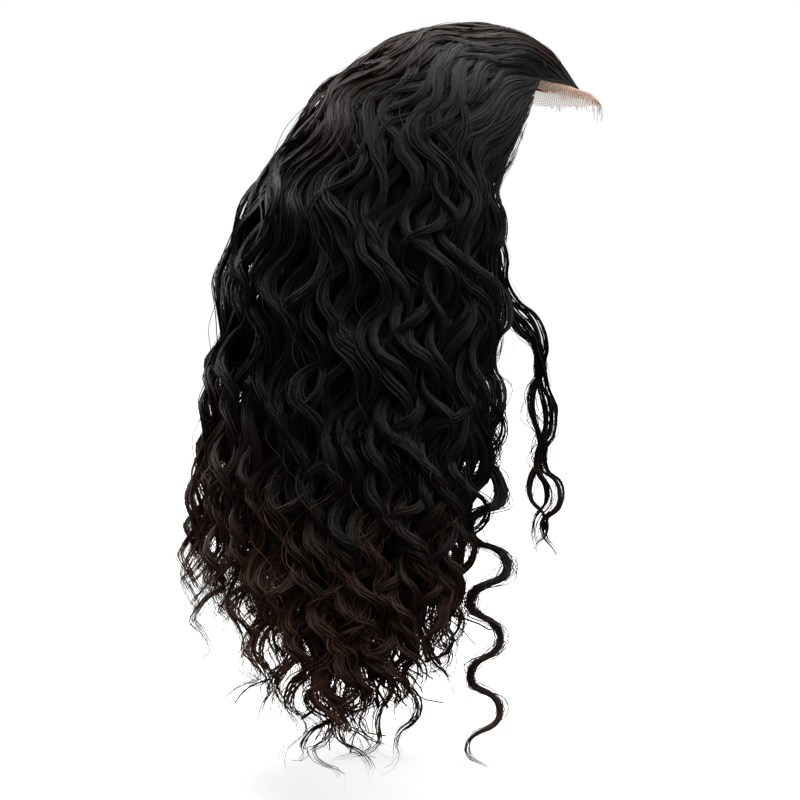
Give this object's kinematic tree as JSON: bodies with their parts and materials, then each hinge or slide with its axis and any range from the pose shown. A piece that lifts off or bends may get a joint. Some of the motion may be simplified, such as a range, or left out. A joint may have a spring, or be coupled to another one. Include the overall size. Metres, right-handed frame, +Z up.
{
  "type": "lace closure wig",
  "caption": "Long curly wig, swept back from a sheer lace panel at the hairline, on a stretch net cap that is open below for the head.",
  "frame": {"origin": "inside of the cap at the crown, where the top of the wearer's head bears", "axes": "+Z up the wearer's head, -Y the way the face looks, +X the wearer's left"},
  "size_m": [0.2518, 0.2897, 0.5019],
  "materials": {
    "hair": "natural black human hair, waved, with a soft gloss and browner ends",
    "stretch_net": "black knitted stretch net",
    "lace": "sheer flesh-coloured lace with a frayed cut edge"
  },
  "bodies": {
    "root": {"cap": "stretch_net", "lace_closure": "lace", "right_front_lock": "hair", "right_temple_weft": "hair", "right_side_weft": "hair", "right_closure_hair": "hair", "middle_closure_hair": "hair", "left_closure_hair": "hair", "left_side_weft": "hair", "left_temple_weft": "hair", "left_front_lock": "hair"}
  },
  "joints": []
}
